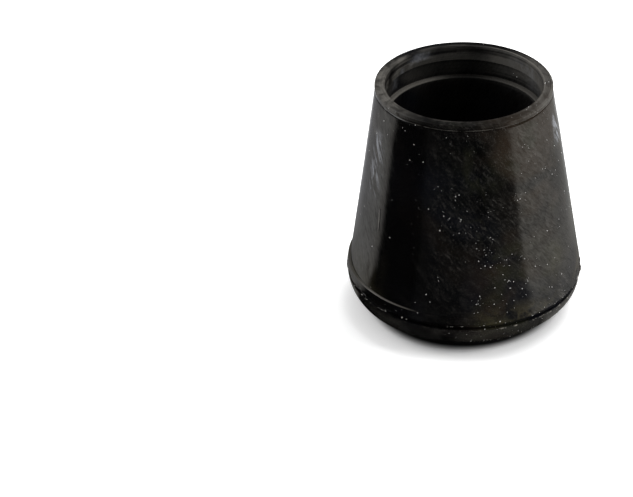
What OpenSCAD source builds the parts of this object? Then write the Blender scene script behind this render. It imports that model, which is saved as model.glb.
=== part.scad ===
// Furniture leg tip: a one-piece moulded rubber ferrule that presses on to the
// end of a round tubular leg.
//
// Units are millimetres, +Z points up. The origin is on the axis, in the plane
// of the ring the tip stands on, so the whole tip lies at z >= 0.
//
// The tip is one solid of revolution. Its section is drawn in 2D (x = radius,
// y = height) from straight lines and true circles and revolved once.

/* [Overall] */
// Height from the standing ring to the rim of the mouth
tip_height = 37; // [32:0.1:44]
// Outside diameter of the bead round the base, without the flash
bead_diameter = 35; // [34.9:0.1:36.4]
// Outside diameter of the tapered body where its line meets the parting line
body_base_diameter = 34.8; // [33.6:0.1:34.8]
// Outside diameter of the tapered body at the rim
body_rim_diameter = 25.4; // [25:0.1:27.4]

/* [Rim lip] */
// How far the lip round the rim stands proud of the tapered body
rim_lip_proud = 0.16; // [0.14:0.01:0.3]
// Height of the lip round the rim
rim_lip_height = 0.9; // [0.5:0.1:2]
// Rounding of the outer and inner edges of the rim
rim_edge_round = 0.25; // [0.1:0.05:0.3]

/* [Mouth] */
// Diameter of the mouth at the rim
mouth_diameter = 22.7; // [22.6:0.1:23.1]
// Diameter of the tapered lead-in at its lower, tight end
lead_in_diameter = 22.5; // [22.4:0.1:22.6]
// Depth of the tapered lead-in below the rim
lead_in_depth = 2.2; // [1.5:0.1:3]
// Diameter of the relief between the lead-in and the ledge
relief_diameter = 23.3; // [23.2:0.1:23.6]
// Depth of the ledge below the rim
ledge_depth = 5; // [4:0.1:8]
// Rounding of the inner edge of the ledge
ledge_edge_round = 0.2; // [0.1:0.05:0.25]

/* [Socket] */
// Outside diameter of the leg the tip is made for
leg_diameter = 22.2; // [21.8:0.1:22.4]
// How much smaller than the leg the socket is moulded, for the press fit
press_allowance = 0.2; // [0:0.05:0.3]
// Thickness of rubber from the standing plane to the floor of the socket
sole_height = 7.5; // [6.6:0.1:10]
// Radius of the fillet round the floor of the socket
socket_floor_fillet = 0.9; // [0.3:0.1:2]

/* [Base bead and parting line] */
// Height of the parting line above the standing plane
parting_height = 6.2; // [6.2:0.1:8]
// Height of the bead above the parting line
bead_height = 1.35; // [1:0.05:2]
// Rounding of the upper edge of the bead
bead_edge_round = 0.12; // [0.06:0.02:0.14]
// Radius of the flare between the bead and the tapered body
flare_radius = 0.12; // [0.06:0.02:0.14]
// How far the moulding flash stands out of the bead
flash_width = 0.12; // [0.05:0.01:0.3]
// Thickness of the moulding flash
flash_thickness = 0.12; // [0.06:0.01:0.2]
// Height of the groove under the flash
groove_height = 0.45; // [0.3:0.05:0.6]
// Radial depth of the groove under the flash, from the bead
groove_depth = 0.5; // [0.3:0.05:0.8]

/* [Shoulder] */
// How far the shoulder is set in from the bead
shoulder_inset = 0.1; // [0.05:0.05:0.3]
// Rounding of the upper edge of the shoulder
shoulder_edge_round = 0.12; // [0.06:0.02:0.14]
// Radius of the rounded shoulder under the groove
shoulder_radius = 4.2; // [3:0.1:4.2]

/* [Standing ring] */
// Outer diameter of the standing ring
foot_diameter = 21; // [20:0.1:24]
// Height of the standing ring below the underside of the shoulder
foot_height = 1.35; // [1.1:0.05:1.35]
// Rounding of the outer edge the ring stands on
foot_edge_round = 0.5; // [0.2:0.05:0.6]
// Fillet between the standing ring and the underside of the shoulder
foot_root_fillet = 0.4; // [0.2:0.05:0.5]

/* [Recess under the base] */
// Diameter of the recess inside the standing ring
recess_diameter = 17.3; // [16.9:0.1:18]
// Depth of the recess
recess_depth = 1.5; // [1.3:0.1:2]
// Rounding of the edge of the recess
recess_edge_round = 0.2; // [0.1:0.05:0.4]
// Fillet round the floor of the recess
recess_floor_fillet = 0.4; // [0.2:0.05:0.5]
// Radius of the half-round section of each rib
rib_radius = 0.55; // [0.3:0.05:0.65]
// Radius at which the innermost rib runs
rib_first_radius = 2.4; // [2:0.1:2.8]
// Radial step from one rib to the next
rib_pitch = 2.2; // [1.9:0.1:2.3]

/* [Hidden] */

$fn = 96;

// How far a true circle passes an edge it blends with, so that the two curves
// cross instead of only touching.
blend_lap = 0.002;
// Reach of the cutting shapes past the surface they cut.
overcut = 1;

rib_count = 3;

bead_r = bead_diameter / 2;
body_base_r = body_base_diameter / 2;
body_rim_r = body_rim_diameter / 2;
mouth_r = mouth_diameter / 2;
lead_in_r = lead_in_diameter / 2;
relief_r = relief_diameter / 2;
socket_r = (leg_diameter - press_allowance) / 2;
foot_r = foot_diameter / 2;
recess_r = recess_diameter / 2;

// The tapered body: its draft and the radius of its outside at a height.
draft = atan((body_base_r - body_rim_r) / (tip_height - parting_height));
function body_r(z) = body_base_r - (z - parting_height) * tan(draft);

bead_top = parting_height + bead_height;
flash_bottom = parting_height - flash_thickness / 2;
shoulder_top = flash_bottom - groove_height;
shoulder_r = bead_r - shoulder_inset;
groove_r = bead_r - groove_depth;

// The flare touches the level top of the bead and the tapered body.
flare_z = bead_top + flare_radius - blend_lap;
flare_x = body_r(flare_z) + (flare_radius - blend_lap) / cos(draft);
flare_end_z = flare_z - flare_radius * sin(draft);

body_colour = [0.09, 0.09, 0.095];

// A square of the given size in the quadrant [sx, sy] of the origin.
module quadrant_square(size, sx, sy) {
    translate([sx > 0 ? 0 : -size, sy > 0 ? 0 : -size])
        square(size);
}

// What rounding a convex corner takes away. The corner is at [x, y] and the
// solid lies on its [-sx, -sy] side.
module corner_cut(x, y, r, sx, sy) {
    translate([x - sx * r, y - sy * r])
        difference() {
            quadrant_square(r + overcut, sx, sy);
            circle(r = r + blend_lap);
        }
}

// What a fillet adds in a concave corner. The corner is at [x, y] and the open
// space lies on its [sx, sy] side.
module corner_fill(x, y, r, sx, sy) {
    reach = r - blend_lap;
    translate([x + sx * reach, y + sy * reach])
        difference() {
            quadrant_square(2 * r, -sx, -sy);
            circle(r = r);
        }
}

// Tapered body with the lip round its rim.
module body_section() {
    difference() {
        union() {
            polygon([
                [0, flash_bottom],
                [body_base_r, flash_bottom],
                [body_base_r, parting_height],
                [body_rim_r, tip_height],
                [0, tip_height]
            ]);
            translate([0, tip_height - rim_lip_height])
                square([body_rim_r + rim_lip_proud, rim_lip_height]);
        }
        corner_cut(body_rim_r + rim_lip_proud, tip_height, rim_edge_round, 1, 1);
    }
}

// Bead round the base, the flare that joins it to the body, and the flash.
module bead_section() {
    difference() {
        translate([0, flash_bottom])
            square([bead_r, bead_top - flash_bottom]);
        corner_cut(bead_r, bead_top, bead_edge_round, 1, 1);
    }
    difference() {
        translate([body_rim_r, flash_bottom])
            square([flare_x - body_rim_r, flare_end_z - flash_bottom]);
        translate([flare_x, flare_z])
            circle(r = flare_radius);
    }
    translate([0, flash_bottom])
        square([bead_r + flash_width, flash_thickness]);
}

// Rounded shoulder under the groove, and the root of the groove.
module shoulder_section() {
    shoulder_mid = foot_height + shoulder_radius;
    difference() {
        translate([0, foot_height])
            square([shoulder_r, shoulder_top - foot_height]);
        corner_cut(shoulder_r, foot_height, shoulder_radius, 1, -1);
        corner_cut(shoulder_r, shoulder_top, shoulder_edge_round, 1, 1);
    }
    translate([0, shoulder_mid])
        square([groove_r, parting_height - shoulder_mid]);
}

// Ring the tip stands on, as a disc; the recess is taken out of it later.
module foot_section() {
    difference() {
        square([foot_r, foot_height + overcut]);
        corner_cut(foot_r, 0, foot_edge_round, 1, -1);
    }
    corner_fill(foot_r, foot_height, foot_root_fillet, 1, -1);
}

// The hollow a leg goes into: lead-in, relief, ledge and socket.
module hollow_section() {
    ledge_height = tip_height - ledge_depth;
    lead_in_end = tip_height - lead_in_depth;
    polygon([
        [0, lead_in_end],
        [lead_in_r, lead_in_end],
        [mouth_r, tip_height],
        [mouth_r, tip_height + overcut],
        [0, tip_height + overcut]
    ]);
    translate([0, ledge_height])
        square([relief_r, lead_in_end - ledge_height]);
    difference() {
        translate([0, sole_height])
            square([socket_r, ledge_height - sole_height + overcut]);
        corner_cut(socket_r, sole_height, socket_floor_fillet, 1, -1);
    }
    corner_fill(socket_r, ledge_height, ledge_edge_round, 1, -1);
    corner_fill(mouth_r, tip_height, rim_edge_round, 1, -1);
}

// The shallow recess under the base, less the ribs that stand in it.
module recess_section() {
    difference() {
        translate([0, -overcut])
            square([recess_r, recess_depth + overcut]);
        corner_cut(recess_r, recess_depth, recess_floor_fillet, 1, 1);
        for (i = [0 : rib_count - 1])
            translate([rib_first_radius + i * rib_pitch, recess_depth])
                circle(r = rib_radius);
    }
    corner_fill(recess_r, 0, recess_edge_round, 1, 1);
}

module leg_tip() {
    color(body_colour)
        rotate_extrude()
            difference() {
                union() {
                    body_section();
                    bead_section();
                    shoulder_section();
                    foot_section();
                }
                hollow_section();
                recess_section();
            }
}

leg_tip();
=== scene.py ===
"""Builds the looks of a one-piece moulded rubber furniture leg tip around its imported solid.

Lengths are in metres and +Z is up. The tip stands on z = 0 with its axis on the Z axis.
The front of the tip is its -Y side.
"""

import math

import bmesh
import bpy
import numpy as np
from bpy.props import (
    FloatProperty,
    FloatVectorProperty,
    IntProperty,
    PointerProperty,
)
from bpy.types import NodeSocket, Operator, Panel, PropertyGroup
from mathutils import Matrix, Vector


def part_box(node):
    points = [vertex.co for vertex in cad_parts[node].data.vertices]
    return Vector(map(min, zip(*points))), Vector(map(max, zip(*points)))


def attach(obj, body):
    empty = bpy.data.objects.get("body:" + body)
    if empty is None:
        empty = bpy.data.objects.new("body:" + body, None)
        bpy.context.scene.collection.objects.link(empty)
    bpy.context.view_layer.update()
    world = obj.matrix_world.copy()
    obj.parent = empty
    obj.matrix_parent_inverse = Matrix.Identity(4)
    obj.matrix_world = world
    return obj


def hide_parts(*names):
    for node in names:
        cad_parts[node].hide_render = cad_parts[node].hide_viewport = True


bl_info = {
    "name": "Furniture leg tip",
    "version": (1, 0, 0),
    "blender": (4, 5, 0),
    "location": "3D View > Sidebar > Leg tip",
    "description": "Moulded rubber leg tip with its flash, tooling lines and dust",
    "category": "Object",
}

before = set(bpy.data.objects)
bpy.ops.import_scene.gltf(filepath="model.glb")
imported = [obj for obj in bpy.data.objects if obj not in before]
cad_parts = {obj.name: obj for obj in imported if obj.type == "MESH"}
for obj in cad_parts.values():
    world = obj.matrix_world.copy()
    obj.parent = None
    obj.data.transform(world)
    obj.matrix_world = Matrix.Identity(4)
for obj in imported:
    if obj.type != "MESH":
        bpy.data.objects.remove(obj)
solid_low, solid_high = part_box("leg_tip")
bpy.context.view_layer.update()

MM = 0.001


# ---------------------------------------------------------------- settings


def size(name, default, description):
    """A length of the tip that a user may change."""
    return FloatProperty(
        name=name,
        description=description,
        default=default,
        min=0.0,
        precision=5,
        subtype="DISTANCE",
        unit="LENGTH",
    )


def share(name, default, description, top=1.0):
    """A plain number from nothing to its top value."""
    return FloatProperty(
        name=name, description=description, default=default, min=0.0, max=top
    )


def paint(name, default, description):
    """A linear colour."""
    return FloatVectorProperty(
        name=name,
        description=description,
        default=default,
        size=3,
        min=0.0,
        max=1.0,
        subtype="COLOR",
    )


class TipSizes(PropertyGroup):
    height: size("Height", solid_high.z, "From the standing ring to the rim")
    flash_r: size("Flash radius", solid_high.x, "Radius at the edge of the flash")
    bead_r: size("Bead radius", 17.5 * MM, "Radius of the bead round the base")
    body_base_r: size("Body base radius", 17.4 * MM, "Body at the parting line")
    body_rim_r: size("Body rim radius", 12.7 * MM, "Body at the rim")
    lip_proud: size("Lip", 0.16 * MM, "How far the lip stands out at the rim")
    lip_height: size("Lip height", 0.9 * MM, "Height of the lip at the rim")
    rim_round: size("Rim edge", 0.25 * MM, "Rounding of the edges of the rim")
    mouth_r: size("Mouth radius", 11.35 * MM, "Mouth at the rim")
    lead_in_r: size("Lead-in radius", 11.25 * MM, "Lead-in at its tight end")
    lead_in_depth: size("Lead-in depth", 2.2 * MM, "Depth of the lead-in")
    relief_r: size("Relief radius", 11.65 * MM, "Relief above the ledge")
    ledge_depth: size("Ledge depth", 5.0 * MM, "Depth of the ledge below the rim")
    ledge_round: size("Ledge edge", 0.2 * MM, "Rounding of the ledge")
    socket_r: size("Socket radius", 11.0 * MM, "Socket that takes the leg")
    sole: size("Sole", 7.5 * MM, "Height of the floor of the socket")
    floor_fillet: size("Floor fillet", 0.9 * MM, "Fillet at the floor of the socket")
    parting: size("Parting height", 6.2 * MM, "Height of the parting line")
    bead_height: size("Bead height", 1.35 * MM, "Bead above the parting line")
    bead_draft: size("Bead draft", 0.2 * MM, "How far the bead leans in at its top")
    bead_round: size("Bead edge", 0.05 * MM, "Rounding of the bead's upper edge")
    flare: size("Flare", 0.04 * MM, "Flare between the bead and the body")
    flash_thick: size("Flash thickness", 0.12 * MM, "Thickness of the flash")
    groove_height: size("Groove height", 0.58 * MM, "Groove under the flash")
    groove_depth: size("Groove depth", 0.5 * MM, "Groove depth from the bead")
    shoulder_inset: size("Shoulder inset", 0.1 * MM, "Shoulder in from the bead")
    shoulder_edge: size("Shoulder edge", 0.12 * MM, "Upper edge of the shoulder")
    shoulder_round: size("Shoulder radius", 4.2 * MM, "Rounded shoulder")
    foot_r: size("Standing ring radius", 10.5 * MM, "Outside of the standing ring")
    foot_height: size("Standing ring height", 1.35 * MM, "Ring below the shoulder")
    foot_round: size("Standing ring edge", 0.5 * MM, "Edge the tip stands on")
    foot_fillet: size("Standing ring fillet", 0.4 * MM, "Fillet at the ring's root")
    recess_r: size("Recess radius", 8.65 * MM, "Recess inside the standing ring")
    recess_depth: size("Recess depth", 1.5 * MM, "Depth of the recess")
    recess_edge: size("Recess edge", 0.2 * MM, "Rounding of the recess's edge")
    recess_fillet: size("Recess fillet", 0.4 * MM, "Fillet at the recess's floor")
    rib_r: size("Rib radius", 0.55 * MM, "Half-round ribs in the recess")
    rib_first: size("First rib", 2.4 * MM, "Radius of the innermost rib")
    rib_pitch: size("Rib pitch", 2.2 * MM, "Step from rib to rib")
    turns: IntProperty(
        name="Steps round", description="Faces round the tip", default=448, min=48
    )


class MouldMarks(PropertyGroup):
    unevenness: size("Unevenness", 0.05 * MM, "How far the walls wander")
    flash_wander: size("Flash wander", 0.05 * MM, "How far the flash moves up or down")
    slip: size(
        "Mould slip", 0.08 * MM,
        "The lower mould half off the axis. The upper half is twice as far, the other way",
    )
    slip_turn: FloatProperty(
        name="Slip turn",
        description="Which way the upper half slipped, right of the front",
        default=math.radians(80.0),
        subtype="ANGLE",
    )
    tilt: share("Parting tilt", 0.024, "How far out of square the parting line lies")
    rim_tilt: share("Rim tilt", 0.016, "How far out of square the rim is")
    lip_line: size("Lip line", 0.06 * MM, "Depth of the fine line under the lip")
    flash_low: share("Shortest flash", 0.1, "Share of the flash that is always left")
    crumb_count: IntProperty(
        name="Crumbs", description="Torn crumbs on the flash", default=150, min=0
    )
    crumb_size: size("Crumb size", 0.125 * MM, "Largest radius of a torn crumb")
    crumb_seed: IntProperty(name="Crumb seed", description="Order of the crumbs", default=5)
    nick_depth: size("Nick depth", 0.16 * MM, "Depth of the small nicks in the wall")


class RubberFinish(PropertyGroup):
    black: paint("Black", (0.0011, 0.0011, 0.0012), "The rubber itself")
    blue_black: paint("Blue black", (0.0035, 0.0040, 0.0062), "Cool bloom")
    brown_black: paint("Brown black", (0.0150, 0.0105, 0.0070), "Warm bloom")
    olive_black: paint("Olive black", (0.0110, 0.0112, 0.0062), "Olive bloom")
    film: paint("Film", (0.078, 0.073, 0.065), "Pale dusty film")
    stain: paint("Stain", (0.050, 0.043, 0.024), "Brown-olive stain by the parting line")
    torn: paint("Torn edge", (0.30, 0.28, 0.24), "Torn edge under the groove")
    chalk: paint("Chalk", (0.26, 0.27, 0.30), "Chalky smudges")
    film_amount: share("Film amount", 0.32, "How strong the pale film is")
    roughness: share("Roughness", 0.13, "Roughness of the clean wall")
    wipe_roughness: share("Wipe roughness", 0.11, "What a wipe mark adds or takes")
    cut_roughness: share("Cut roughness", 0.47, "Roughness of the rim and mouth")
    grain: share("Grain", 0.35, "Strength of the fine grain")
    tooling: share("Tooling lines", 0.80, "Strength of the turned lines of the mould")


class Handling(PropertyGroup):
    dust_density: FloatProperty(
        name="Dust density",
        description="Dust specks on a square metre before the clusters are cut out",
        default=1000000.0,
        min=0.0,
    )
    dust_size: size("Dust size", 0.063 * MM, "Largest radius of a speck")
    dust_seed: IntProperty(name="Dust seed", description="Order of the dust", default=11)
    dust_colour: paint("Dust colour", (0.95, 0.94, 0.92), "Pale dust")
    hair_width: size("Hair width", 0.05 * MM, "Width of a hair or fine scratch")
    hair_colour: paint("Hair colour", (0.30, 0.29, 0.27), "Hairs and fine scratches")
    torn_colour: paint("Torn colour", (0.42, 0.41, 0.38), "Torn, chalky rubber")


class StageLook(PropertyGroup):
    floor_tone: paint("Floor", (0.84, 0.84, 0.84), "Plain pale floor")
    floor_seen: share("Floor seen", 1.50, "Floor as the camera sees it", top=2.0)
    floor_gloss: share("Floor in gloss", 1.0, "Floor as gloss sees it", top=2.0)
    sky_fill: share("Fill", 0.58, "Soft light from all round", top=4.0)
    sky_gloss: share("Sky in gloss", 0.05, "What gloss sees above the floor")
    key_power: FloatProperty(
        name="Key power", description="Key lamp", default=2.0, min=0.0, unit="POWER"
    )
    side_power: FloatProperty(
        name="Side power", description="Low lamp at right", default=2.2, min=0.0, unit="POWER"
    )
    strip_power: FloatProperty(
        name="Strip power", description="Left strip", default=1.2, min=0.0, unit="POWER"
    )


class CameraPlace(PropertyGroup):
    place: FloatVectorProperty(
        name="Place",
        description="Where the camera stands",
        default=(-22.085 * MM, -291.6433 * MM, 194.3842 * MM),
        subtype="TRANSLATION",
        unit="LENGTH",
        precision=6,
    )
    turn: FloatVectorProperty(
        name="Turn",
        description="Which way the camera looks",
        default=(
            math.radians(57.62649),
            math.radians(2.23159),
            math.radians(-1.41411),
        ),
        subtype="EULER",
        unit="ROTATION",
    )
    lens: FloatProperty(
        name="Lens", description="Focal length", default=130.806, unit="CAMERA"
    )


# Where the rim leans: it hinges at its left edge, and the lean starts and is full
# this far below the rim.
RIM_HINGE = 13.2 * MM
RIM_LEAN_FROM, RIM_LEAN_FULL = 9.0 * MM, 3.0 * MM
# Points farther from the axis than this are on the outside wall.
OUTSIDE_R = 12.3 * MM
# Soft edge of a rubbed spot in the mouth.
RUB_EDGE = 0.5 * MM
# Turn of the wipe marks on a metre of height, in radians.
WIPE_TWIST = 48.0
# Heights of the bumps at full strength: tooling lines, fine grain and wipe marks.
LINE_BUMP, GRAIN_BUMP, WIPE_BUMP = 0.03 * MM, 0.012 * MM, 0.005 * MM


# ---------------------------------------------------------------- node helpers


class Field:
    """A number worked out by nodes. Sums and products of fields make Math nodes."""

    def __init__(self, socket):
        self.socket = socket
        self.tree = socket.id_data

    def __add__(self, other):
        return calc(self.tree, "ADD", self, other)

    def __radd__(self, other):
        return calc(self.tree, "ADD", other, self)

    def __sub__(self, other):
        return calc(self.tree, "SUBTRACT", self, other)

    def __rsub__(self, other):
        return calc(self.tree, "SUBTRACT", other, self)

    def __mul__(self, other):
        return calc(self.tree, "MULTIPLY", self, other)

    def __rmul__(self, other):
        return calc(self.tree, "MULTIPLY", other, self)

    def __truediv__(self, other):
        return calc(self.tree, "DIVIDE", self, other)

    def clamped(self):
        """The same number, held between 0 and 1 by the node that made it."""
        self.socket.node.use_clamp = True
        return self

    def ramp(self, low, high, to_low=0.0, to_high=1.0):
        """Taken smoothly from low..high to to_low..to_high, and held at the ends."""
        made = put(
            self.tree,
            "ShaderNodeMapRange",
            {0: self, 1: low, 2: high, 3: to_low, 4: to_high},
            interpolation_type="SMOOTHSTEP",
        )
        return Field(made.outputs[0])

    def band(self, low, low_full, high_full, high):
        """1 from low_full to high_full, and 0 below low and above high."""
        return self.ramp(low, low_full) * self.ramp(high, high_full)

    def sector(self, middle, half, soft):
        """Of an angle round the axis: 1 inside a sector, in degrees, and 0 outside it."""
        turn = self - math.radians(middle)
        away = calc(self.tree, "ABSOLUTE", calc(self.tree, "WRAP", turn, math.pi, -math.pi))
        return away.ramp(math.radians(half + soft), math.radians(half - soft))


def feed(tree, slot, value):
    """Links a field or a socket to an input, or sets the input to a plain value."""
    if isinstance(value, Field):
        value = value.socket
    if isinstance(value, NodeSocket):
        tree.links.new(value, slot)
    else:
        slot.default_value = value


def put(tree, kind, inputs=None, **settings):
    """Adds a node, sets its settings, and sets or links its inputs."""
    made = tree.nodes.new(kind)
    for name, value in settings.items():
        setattr(made, name, value)
    for key, value in (inputs or {}).items():
        feed(tree, made.inputs[key], value)
    return made


def calc(tree, operation, *values):
    """A Math node's output."""
    made = put(tree, "ShaderNodeMath", dict(enumerate(values)), operation=operation)
    return Field(made.outputs[0])


def vector_calc(tree, operation, *values):
    """A Vector Math node's vector output."""
    values = dict(enumerate(values))
    return put(tree, "ShaderNodeVectorMath", values, operation=operation).outputs[0]


def combine(tree, x=0.0, y=0.0, z=0.0):
    """A vector made of three numbers."""
    return put(tree, "ShaderNodeCombineXYZ", {"X": x, "Y": y, "Z": z}).outputs[0]


def chance(tree, seed, offset, low=0.0, high=1.0):
    """A random number between low and high, drawn for each point."""
    made = put(
        tree, "FunctionNodeRandomValue", {"Seed": seed + offset, 2: low, 3: high},
        data_type="FLOAT",
    )
    return Field(made.outputs[1])


def noise(tree, vector, scale, detail=3.0, rough=0.5, distortion=0.0):
    """A Noise Texture's plain value, about 0.5 in the middle."""
    made = put(
        tree,
        "ShaderNodeTexNoise",
        {
            "Vector": vector,
            "Scale": scale,
            "Detail": detail,
            "Roughness": rough,
            "Distortion": distortion,
        },
    )
    return Field(made.outputs[0])


def new_shape_tree(name, sockets):
    """A geometry tree with named inputs. sockets maps a name to (kind, default)."""
    tree = bpy.data.node_groups.new(name, "GeometryNodeTree")
    ids = {}
    tree.interface.new_socket("Geometry", in_out="INPUT", socket_type="NodeSocketGeometry")
    for title, (kind, default) in sockets.items():
        socket = tree.interface.new_socket(title, in_out="INPUT", socket_type=kind)
        if default is not None:
            socket.default_value = default
        ids[title] = socket.identifier
    tree.interface.new_socket("Geometry", in_out="OUTPUT", socket_type="NodeSocketGeometry")
    return tree, ids, tree.nodes.new("NodeGroupInput"), tree.nodes.new("NodeGroupOutput")


def finish_tree(tree, geometry, material, output):
    """Ends a geometry tree in Realize Instances and Set Material."""
    real = put(tree, "GeometryNodeRealizeInstances", {0: geometry})
    done = put(
        tree, "GeometryNodeSetMaterial", {"Geometry": real.outputs[0], "Material": material}
    )
    tree.links.new(done.outputs[0], output.inputs[0])


def grow(name, tree, ids, values, start=None):
    """Runs a geometry tree on a mesh and returns its result as a plain object."""
    made = bpy.data.objects.new(name, start or bpy.data.meshes.new(name))
    bpy.context.scene.collection.objects.link(made)
    modifier = made.modifiers.new("Shape", "NODES")
    modifier.node_group = tree
    for title, value in values.items():
        modifier[ids[title]] = value
    bpy.context.view_layer.update()
    graph = bpy.context.evaluated_depsgraph_get()
    baked = bpy.data.meshes.new_from_object(made.evaluated_get(graph))
    baked.name = name
    made.modifiers.remove(modifier)
    made.data = baked
    if not baked.polygons:
        raise RuntimeError(f"{name} came out empty")
    return made


# ---------------------------------------------------------------- section of the tip


def arc(cx, cz, r, start, end, steps):
    """Points of a circle from one angle to another, in degrees."""
    return [
        (cx + r * math.cos(math.radians(a)), cz + r * math.sin(math.radians(a)))
        for a in np.linspace(start, end, steps + 1)
    ]


def body_radius(tip, z):
    """Radius of the tapered body's outside at a height."""
    fall = (tip.body_base_r - tip.body_rim_r) / (tip.height - tip.parting)
    return tip.body_base_r - (z - tip.parting) * fall


def tip_section(tip, lip_line):
    """The tip's section from the middle of the recess, up the outside, over the rim
    and down the socket to the middle of its floor: (radius, height, give, flash)."""
    points = []

    def add(track, give=0.0, flash=0.0, step=None):
        for r, z in track:
            if points:
                r0, z0 = points[-1][:2]
                gap = math.hypot(r - r0, z - z0)
                if gap < 1e-7:
                    continue
                if step and gap > step:
                    n = math.ceil(gap / step)
                    for i in range(1, n):
                        t = i / n
                        points.append((r0 + (r - r0) * t, z0 + (z - z0) * t, give, flash))
            points.append((r, z, give, flash))

    fall = math.degrees(
        math.atan((tip.body_base_r - tip.body_rim_r) / (tip.height - tip.parting))
    )
    recess_top = tip.recess_depth
    dimple = 0.22 * MM
    add([(0.0, recess_top + 0.11 * MM)] + arc(0, recess_top, dimple, 60, 0, 4)[1:])
    for i in range(3):
        add(
            arc(tip.rib_first + i * tip.rib_pitch, recess_top, tip.rib_r, 180, 360, 12),
            step=0.6 * MM,
        )
    fillet = tip.recess_fillet
    add(arc(tip.recess_r - fillet, recess_top - fillet, fillet, 90, 0, 5))
    edge = tip.recess_edge
    add(arc(tip.recess_r + edge, edge, edge, 180, 270, 4))
    edge = tip.foot_round
    add(arc(tip.foot_r - edge, edge, edge, 270, 360, 7), step=0.4 * MM)
    fillet = tip.foot_fillet
    add(arc(tip.foot_r + fillet, tip.foot_height - fillet, fillet, 180, 90, 5))
    shoulder_r = tip.bead_r - tip.shoulder_inset
    flash_low = tip.parting - tip.flash_thick / 2
    flash_high = tip.parting + tip.flash_thick / 2
    shoulder_top = flash_low - tip.groove_height
    big, edge = tip.shoulder_round, tip.shoulder_edge
    add(
        arc(shoulder_r - big, tip.foot_height + big, big, 270, 360, 18),
        give=0.5,
        step=0.6 * MM,
    )
    add(arc(shoulder_r - edge, shoulder_top - edge, edge, 0, 90, 3), give=0.5)
    groove_r = tip.bead_r - tip.groove_depth
    root = 0.12 * MM
    add(arc(groove_r + root, shoulder_top + root, root, 270, 180, 3), give=0.5)
    add(arc(groove_r + root, flash_low - root, root, 180, 90, 3), give=0.5)
    nose = tip.flash_thick * 0.3
    add([(tip.bead_r, flash_low)], flash=0.4)
    add([(tip.flash_r - nose * 0.4, flash_low + nose * 0.4)], flash=1.0)
    add([(tip.flash_r, tip.parting)], flash=1.0)
    add([(tip.flash_r - nose * 0.4, flash_high - nose * 0.4)], flash=1.0)
    add([(tip.bead_r, flash_high)], flash=0.4)
    bead_top = tip.parting + tip.bead_height
    edge = tip.bead_round
    bead_top_r = tip.bead_r - tip.bead_draft
    add(arc(bead_top_r - edge, bead_top - edge, edge, 0, 90, 4), give=0.25, step=0.3 * MM)
    flare_z = bead_top + tip.flare
    flare_x = body_radius(tip, flare_z) + tip.flare / math.cos(math.radians(fall))
    add(arc(flare_x, flare_z, tip.flare, 270, 180 + fall, 6), give=0.6)
    lip_low = tip.height - tip.lip_height
    add([(body_radius(tip, lip_low - 0.5 * MM), lip_low - 0.5 * MM)], give=1.0, step=0.62 * MM)
    add([(body_radius(tip, lip_low - 0.12 * MM), lip_low - 0.12 * MM)], give=0.8)
    add([(body_radius(tip, lip_low) - lip_line, lip_low - 0.03 * MM)], give=0.5)
    lip_r = tip.body_rim_r + tip.lip_proud
    add([(lip_r - 0.02 * MM, lip_low + 0.02 * MM), (lip_r, lip_low + 0.06 * MM)], give=0.3)
    edge = tip.rim_round
    add(arc(lip_r - edge, tip.height - edge, edge, 0, 90, 5), step=0.3 * MM)
    add(arc(tip.mouth_r + edge, tip.height - edge, edge, 90, 180, 5), step=0.3 * MM)
    lead_end = tip.height - tip.lead_in_depth
    add([(tip.lead_in_r, lead_end)], step=0.4 * MM)
    add([(tip.relief_r, lead_end), (tip.relief_r, tip.height - tip.ledge_depth)], step=0.5 * MM)
    edge = tip.ledge_round
    add(arc(tip.socket_r + edge, tip.height - tip.ledge_depth - edge, edge, 90, 180, 5))
    fillet = tip.floor_fillet
    add(arc(tip.socket_r - fillet, tip.sole + fillet, fillet, 0, -90, 6), step=2.2 * MM)
    add([(0.0, tip.sole)], step=2.5 * MM)
    return points


def section_mesh(tip, lip_line):
    """The section as a mesh of ordered points that carry their give, their flash and
    how far their mould half slipped: 2 for the upper, -1 for the lower."""
    points = np.array(tip_section(tip, lip_line))
    mesh = bpy.data.meshes.new("tip_section")
    count = len(points)
    mesh.from_pydata(
        [(p[0], 0.0, p[1]) for p in points], [(i, i + 1) for i in range(count - 1)], []
    )
    inside = np.arange(count) > points[:, 1].argmax()
    lower = (points[:, 1] < tip.parting + tip.bead_height + 0.02 * MM) & ~inside
    half = np.where(lower, -1.0, 2.0) * (points[:, 3] < 0.3)
    for title, values in (
        ("give", points[:, 2]),
        ("flash", points[:, 3]),
        ("half", half),
    ):
        layer = mesh.attributes.new(title, "FLOAT", "POINT")
        layer.data.foreach_set("value", values.astype(np.float32))
    return mesh


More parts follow.
